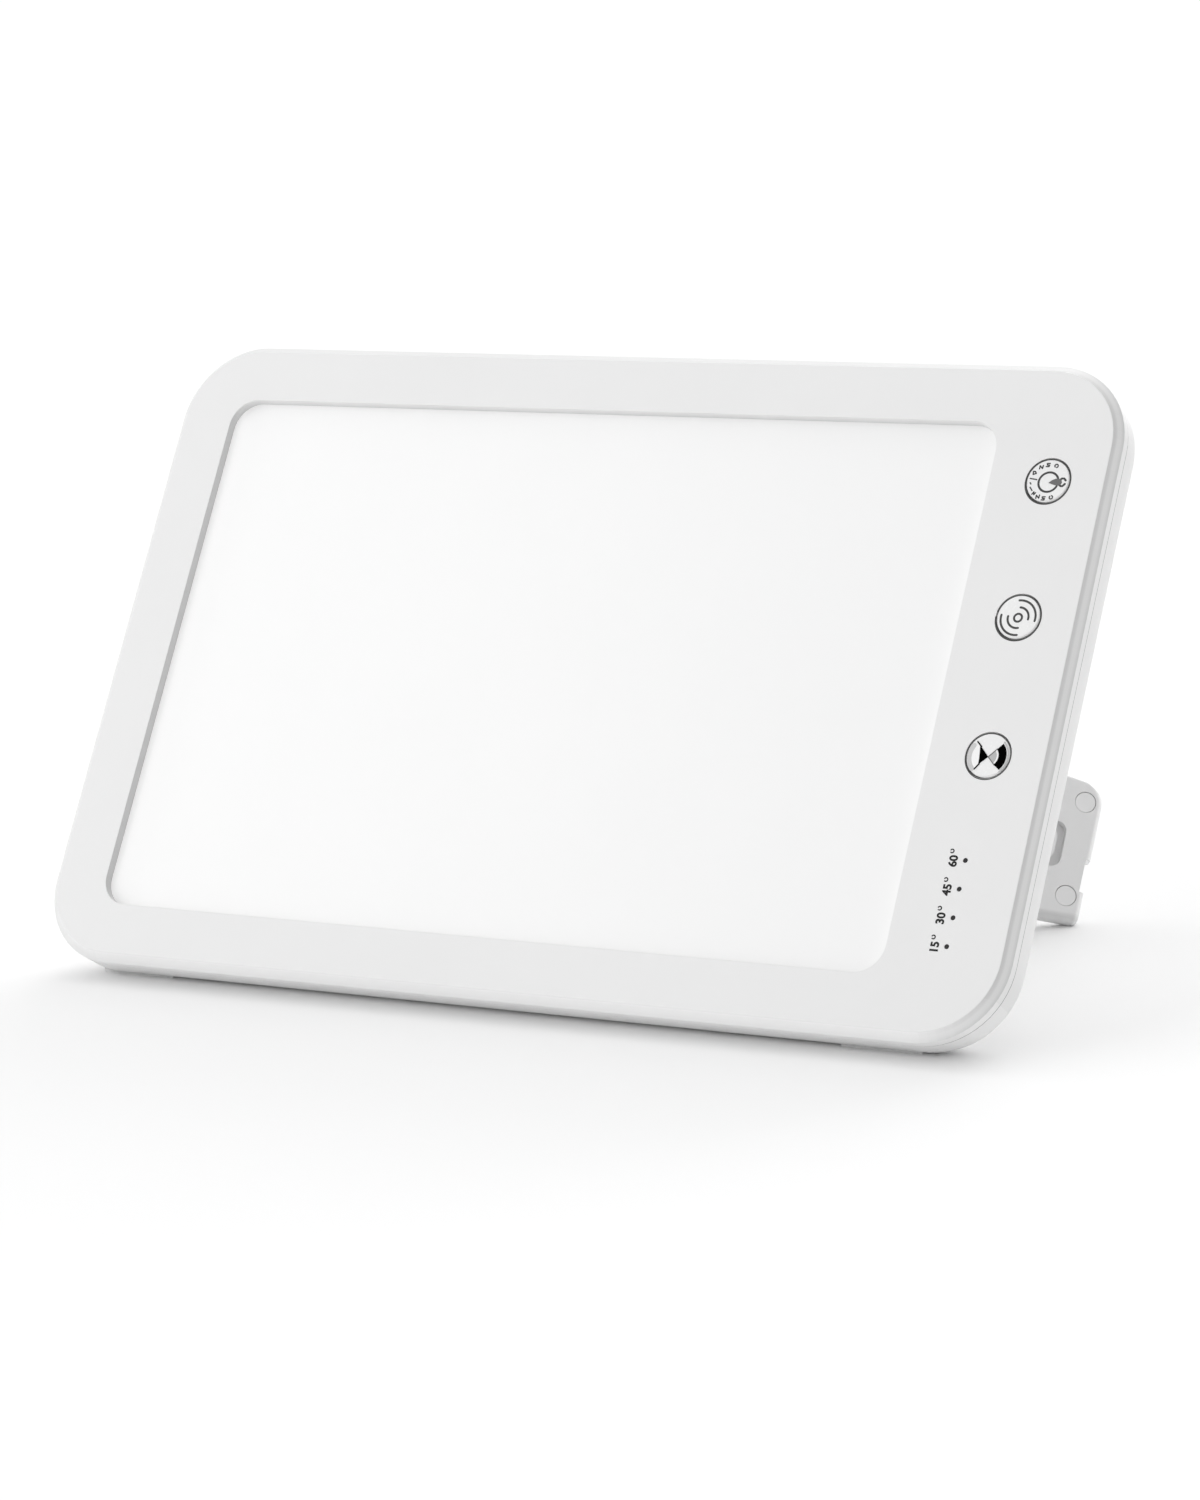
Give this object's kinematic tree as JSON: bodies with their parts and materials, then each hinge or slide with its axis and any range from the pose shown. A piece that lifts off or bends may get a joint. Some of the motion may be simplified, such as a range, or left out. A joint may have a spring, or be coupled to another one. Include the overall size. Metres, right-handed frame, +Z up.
{
  "type": "light therapy lamp",
  "caption": "Flat tablet-shaped light therapy lamp with a large lit window, a strip of push buttons and time lights, leaning back on a tapered fold-out leg.",
  "frame": {"origin": "on the desk, below the middle of the lamp's box, with the lamp leaning back on its open leg", "axes": "+X to the right along the casing's long side, seen from the front; -Y towards the person in front; +Z up"},
  "size_m": [0.2556, 0.1428, 0.1414],
  "materials": {
    "white_shell": "satin moulded ABS, slightly warm white",
    "opal_diffuser": "opal acrylic, satin, lit from behind",
    "clear_plastic": "clear acrylic",
    "white_film": "white film",
    "cap": "glossy moulded button cap",
    "aluminium": "bare pressed sheet",
    "circuit_board": "solder resist over glass fibre laminate",
    "white_board": "white solder resist",
    "led_yellow": "phosphor in a white housing",
    "black_plastic": "moulded black",
    "steel": "zinc-plated steel",
    "white_paint": "white baked paint",
    "magnet": "nickel-plated",
    "rubber_white": "matt silicone rubber",
    "wire": "PVC insulation over stranded copper",
    "copper": "plated contact",
    "ferrite": "shielded ferrite coil",
    "can": "capacitor can"
  },
  "bodies": {
    "casing": {"front_bezel": "white_shell", "rear_shell": "white_shell", "diffuser_panel": "opal_diffuser", "diffusion_film": "white_film", "light_guide": "clear_plastic", "reflector_sheet": "white_film", "light_frame": "white_shell", "backing_plate": "aluminium", "led_strips": "white_board", "led_chips": "led_yellow", "frame_screws": "steel", "control_board": "circuit_board", "control_chips": "black_plastic", "control_plugs": "white_film", "tact_switches": "black_plastic", "light_pipes": "clear_plastic", "indicator_leds": "led_yellow", "board_screws": "steel", "driver_board": "circuit_board", "driver_coil": "ferrite", "driver_cans": "can", "driver_chips": "black_plastic", "driver_screws": "steel", "inlet_socket": "black_plastic", "inlet_pin": "copper", "inlet_wires": "wire", "case_screws": "steel", "screw_plugs": "rubber_white", "rubber_feet": "rubber_white", "shell_magnets": "magnet", "hinge_pin": "steel", "hinge_washers": "steel"},
    "leg": {"stand_leg": "white_shell", "leg_spine": "white_paint", "spine_screws": "steel", "leg_magnets": "white_paint"},
    "power_button": {"button_power": "cap", "plunger_power": "black_plastic"},
    "brightness_button": {"button_brightness": "cap", "plunger_brightness": "black_plastic"},
    "timer_button": {"button_timer": "cap", "plunger_timer": "black_plastic"}
  },
  "joints": [
    {"name": "leg_hinge", "type": "hinge", "parent": "casing", "child": "leg", "pos_m": [-0.04635, -0.01661, 0.06572], "axis": [0, 0.5449, 0.8385], "range_deg": [-34, 0]},
    {"name": "power_press", "type": "slide", "parent": "casing", "child": "power_button", "axis": [0, 0.8385, -0.5449], "range_m": [0, 0.0004], "stiffness_N_per_m": 1200, "springref_m": -0.0003},
    {"name": "brightness_press", "type": "slide", "parent": "casing", "child": "brightness_button", "axis": [0, 0.8385, -0.5449], "range_m": [0, 0.0004], "stiffness_N_per_m": 1200, "springref_m": -0.0003},
    {"name": "timer_press", "type": "slide", "parent": "casing", "child": "timer_button", "axis": [0, 0.8385, -0.5449], "range_m": [0, 0.0004], "stiffness_N_per_m": 1200, "springref_m": -0.0003}
  ]
}
